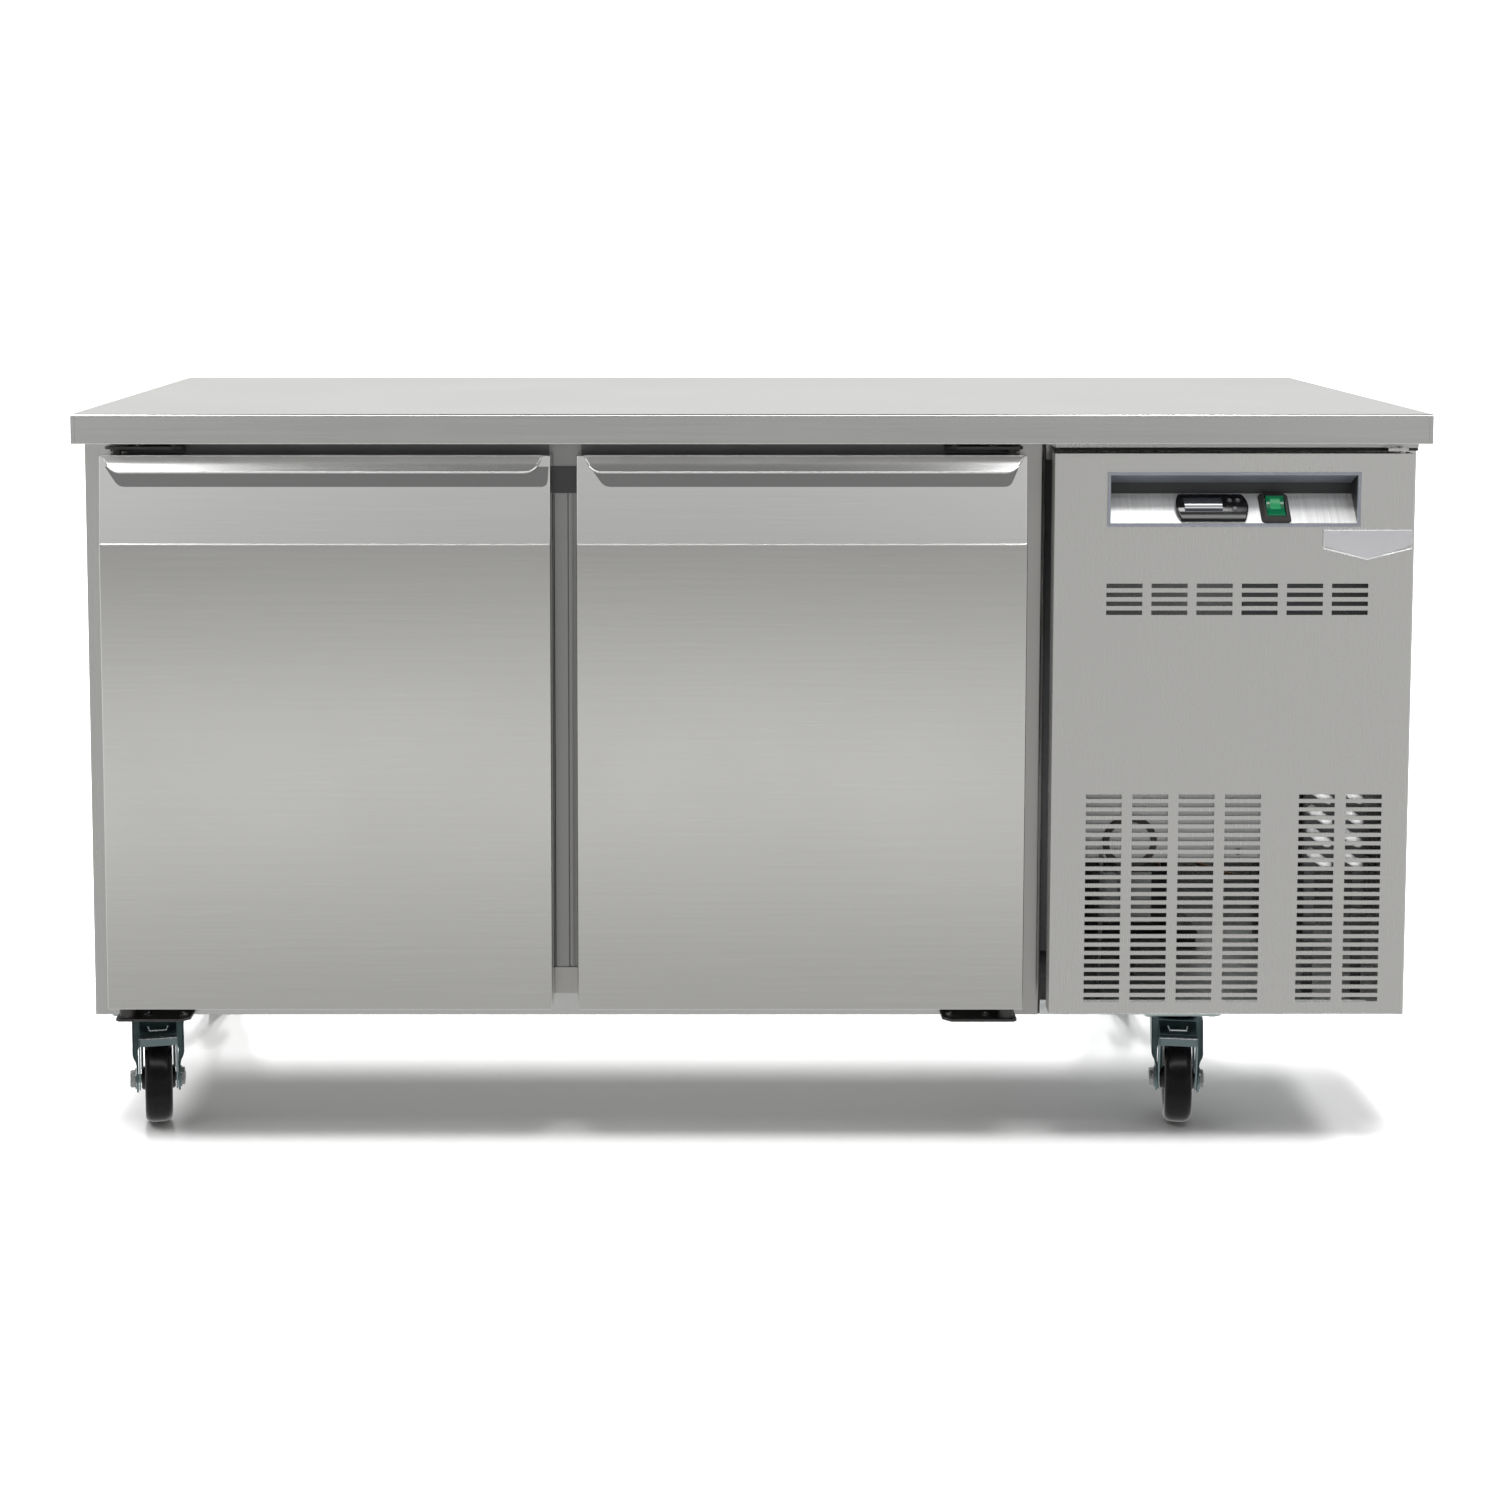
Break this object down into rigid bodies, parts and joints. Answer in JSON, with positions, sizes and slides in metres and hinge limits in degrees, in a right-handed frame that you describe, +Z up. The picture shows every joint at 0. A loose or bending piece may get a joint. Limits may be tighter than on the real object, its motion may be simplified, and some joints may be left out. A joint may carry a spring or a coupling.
{
  "type": "under counter fridge",
  "caption": "Low stainless steel fridge with side-by-side hinged doors under a worktop, a louvred compressor bay with a recessed control panel at one end, on swivel casters.",
  "frame": {"origin": "on the floor below the middle of the worktop", "axes": "+X to the right along the doors, +Y to the back, +Z up; the doors face -Y"},
  "size_m": [1.5, 0.7, 0.825],
  "materials": {
    "brushed_steel": "satin",
    "wire_steel": "satin",
    "bare_aluminium": "satin",
    "galvanised_steel": "satin",
    "zinc_steel": "satin",
    "black_steel": "satin",
    "black_plastic": "gloss",
    "grey_plastic": "matte",
    "trim_plastic": "satin",
    "button_plastic": "satin",
    "green_lens": "gloss",
    "black_rubber": "matte",
    "insulation": "matte",
    "gasket_rubber": "matte",
    "wheel_rubber": "satin"
  },
  "bodies": {
    "cabinet": {"worktop": "brushed_steel", "left_side_panel": "brushed_steel", "rear_panel": "brushed_steel", "floor_panel": "brushed_steel", "ceiling_panel": "brushed_steel", "bay_divider": "brushed_steel", "mullion": "brushed_steel", "bay_casing": "brushed_steel", "evaporator_cover": "brushed_steel", "shelf_rail_left": "brushed_steel", "shelf_rail_right": "brushed_steel", "shelf_centre_support": "brushed_steel", "mullion_cap_upper": "grey_plastic", "mullion_cap_lower": "grey_plastic", "compressor_terminal_box": "grey_plastic", "shelf_left": "wire_steel", "shelf_right": "wire_steel", "evaporator_coil": "bare_aluminium", "condenser": "bare_aluminium", "bay_base": "galvanised_steel", "electrical_box": "galvanised_steel", "cable_gland": "black_plastic", "left_hinge_lower": "black_steel", "left_hinge_upper": "black_steel", "right_hinge_lower": "black_steel", "right_hinge_upper": "black_steel", "compressor": "black_steel", "condenser_fan_mount": "black_steel", "front_left_caster_plate": "zinc_steel", "front_right_caster_plate": "zinc_steel", "rear_left_caster_plate": "zinc_steel", "rear_right_caster_plate": "zinc_steel"},
    "left_door": {"left_door_skin": "brushed_steel", "left_door_core": "insulation", "left_door_gasket": "gasket_rubber"},
    "right_door": {"right_door_skin": "brushed_steel", "right_door_core": "insulation", "right_door_gasket": "gasket_rubber"},
    "service_door": {"service_panel": "brushed_steel", "control_trim": "trim_plastic", "control_tray": "brushed_steel", "controller": "black_plastic", "switch_bezel": "black_rubber", "badge": "bare_aluminium"},
    "rocker": {"switch_rocker": "green_lens"},
    "button_1": {"controller_button_1": "button_plastic"},
    "button_2": {"controller_button_2": "button_plastic"},
    "button_3": {"controller_button_3": "button_plastic"},
    "evaporator_fan": {"evaporator_fan": "black_plastic"},
    "condenser_fan": {"condenser_fan": "bare_aluminium"},
    "front_left_swivel": {"front_left_caster_fork": "zinc_steel"},
    "front_left_wheel": {"front_left_caster_wheel": "wheel_rubber"},
    "front_left_brake": {"front_left_caster_brake": "zinc_steel"},
    "front_right_swivel": {"front_right_caster_fork": "zinc_steel"},
    "front_right_wheel": {"front_right_caster_wheel": "wheel_rubber"},
    "front_right_brake": {"front_right_caster_brake": "zinc_steel"},
    "rear_left_swivel": {"rear_left_caster_fork": "zinc_steel"},
    "rear_left_wheel": {"rear_left_caster_wheel": "wheel_rubber"},
    "rear_right_swivel": {"rear_right_caster_fork": "zinc_steel"},
    "rear_right_wheel": {"rear_right_caster_wheel": "wheel_rubber"}
  },
  "joints": [
    {"name": "left_door_hinge", "type": "hinge", "parent": "cabinet", "child": "left_door", "pos_m": [-0.7065, -0.314, 0.466], "axis": [0, 0, -1], "range_deg": [0, 100]},
    {"name": "right_door_hinge", "type": "hinge", "parent": "cabinet", "child": "right_door", "pos_m": [0.29, -0.314, 0.466], "axis": [0, 0, 1], "range_deg": [0, 100]},
    {"name": "service_panel_hinge", "type": "hinge", "parent": "cabinet", "child": "service_door", "pos_m": [0.722, -0.328, 0.4655], "axis": [0, 0, 1], "range_deg": [0, 110]},
    {"name": "switch_rock", "type": "hinge", "parent": "service_door", "child": "rocker", "pos_m": [0.581, -0.3264, 0.7159], "axis": [1, 0, 0], "range_deg": [-16, 0]},
    {"name": "button_1_press", "type": "slide", "parent": "service_door", "child": "button_1", "axis": [0, 0.7182, -0.6958], "range_m": [0, 0.0006], "stiffness_N_per_m": 400},
    {"name": "button_2_press", "type": "slide", "parent": "service_door", "child": "button_2", "axis": [0, 0.7182, -0.6958], "range_m": [0, 0.0006], "stiffness_N_per_m": 400},
    {"name": "button_3_press", "type": "slide", "parent": "service_door", "child": "button_3", "axis": [0, 0.7182, -0.6958], "range_m": [0, 0.0006], "stiffness_N_per_m": 400},
    {"name": "evaporator_fan_spin", "type": "hinge", "parent": "cabinet", "child": "evaporator_fan", "pos_m": [0.193, 0.03, 0.612], "axis": [1, 0, 0], "continuous": true},
    {"name": "condenser_fan_spin", "type": "hinge", "parent": "cabinet", "child": "condenser_fan", "pos_m": [0.622, -0.103, 0.427], "axis": [1, 0, 0], "continuous": true},
    {"name": "front_left_caster_swivel", "type": "hinge", "parent": "cabinet", "child": "front_left_swivel", "pos_m": [-0.69, -0.23, 0.1164], "axis": [0, 0, 1], "continuous": true},
    {"name": "front_left_wheel_roll", "type": "hinge", "parent": "front_left_swivel", "child": "front_left_wheel", "pos_m": [-0.68272, -0.26423, 0.05], "axis": [0.9781, 0.2079, 0], "continuous": true},
    {"name": "front_left_brake_pedal", "type": "hinge", "parent": "front_left_swivel", "child": "front_left_brake", "pos_m": [-0.68272, -0.26423, 0.05], "axis": [0.9781, 0.2079, 0], "range_deg": [0, 12]},
    {"name": "front_right_caster_swivel", "type": "hinge", "parent": "cabinet", "child": "front_right_swivel", "pos_m": [0.5, -0.23, 0.1164], "axis": [0, 0, 1], "continuous": true},
    {"name": "front_right_wheel_roll", "type": "hinge", "parent": "front_right_swivel", "child": "front_right_wheel", "pos_m": [0.49513, -0.26466, 0.05], "axis": [0.9903, -0.1392, 0], "continuous": true},
    {"name": "front_right_brake_pedal", "type": "hinge", "parent": "front_right_swivel", "child": "front_right_brake", "pos_m": [0.49513, -0.26466, 0.05], "axis": [0.9903, -0.1392, 0], "range_deg": [0, 12]},
    {"name": "rear_left_caster_swivel", "type": "hinge", "parent": "cabinet", "child": "rear_left_swivel", "pos_m": [-0.69, 0.23, 0.1164], "axis": [0, 0, 1], "continuous": true},
    {"name": "rear_left_wheel_roll", "type": "hinge", "parent": "rear_left_swivel", "child": "rear_left_wheel", "pos_m": [-0.69, 0.195, 0.05], "axis": [1, 0, 0], "continuous": true},
    {"name": "rear_right_caster_swivel", "type": "hinge", "parent": "cabinet", "child": "rear_right_swivel", "pos_m": [0.5, 0.23, 0.1164], "axis": [0, 0, 1], "continuous": true},
    {"name": "rear_right_wheel_roll", "type": "hinge", "parent": "rear_right_swivel", "child": "rear_right_wheel", "pos_m": [0.5, 0.195, 0.05], "axis": [1, 0, 0], "continuous": true}
  ]
}
